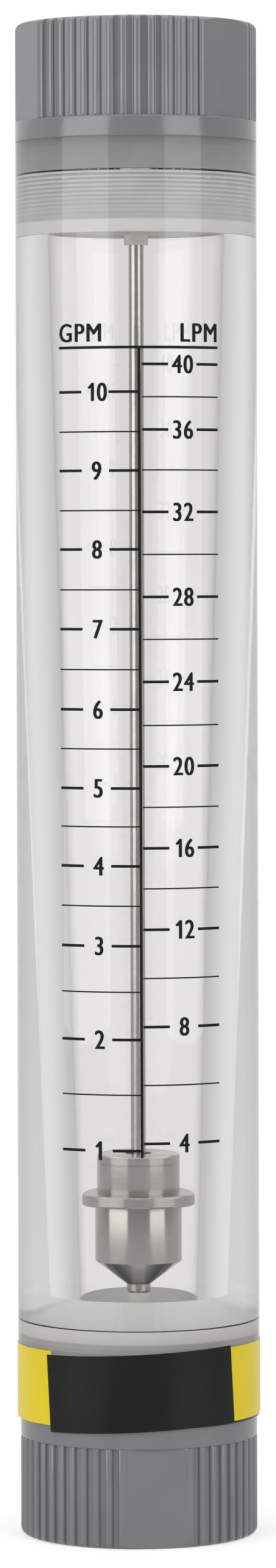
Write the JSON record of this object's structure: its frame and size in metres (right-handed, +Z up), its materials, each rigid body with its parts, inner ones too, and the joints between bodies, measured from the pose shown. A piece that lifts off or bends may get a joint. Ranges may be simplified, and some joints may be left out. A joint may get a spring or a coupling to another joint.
{
  "type": "rotameter",
  "caption": "In-line variable-area flow meter: clear taper-bored tube with a two-unit flow scale, steel float on a guide rod, ribbed threaded pipe fittings at both ends.",
  "frame": {"origin": "centre of the lower end face, on which the instrument stands", "axes": "+Z up the tube, the way the liquid flows; -Y out of the face that is read; +X to the right of it"},
  "size_m": [0.0482, 0.0484, 0.3],
  "materials": {
    "clear_acrylic": "clear, polished inside and out",
    "grey_pvc": "satin moulded grey",
    "natural_plastic": "satin off-white",
    "stainless_steel": "turned, fine lathe lines",
    "yellow_label": "printed film",
    "black_label": "printed film"
  },
  "bodies": {
    "housing": {"metering_tube": "clear_acrylic", "lower_fitting": "grey_pvc", "upper_fitting": "grey_pvc", "lower_rod_holder": "natural_plastic", "upper_rod_holder": "natural_plastic", "guide_rod": "stainless_steel", "label_band": "yellow_label", "label_panel": "black_label"},
    "float": {"float": "stainless_steel"}
  },
  "joints": [
    {"name": "float_slide", "type": "slide", "parent": "housing", "child": "float", "axis": [0, 0, 1], "range_m": [0, 0.18]}
  ]
}
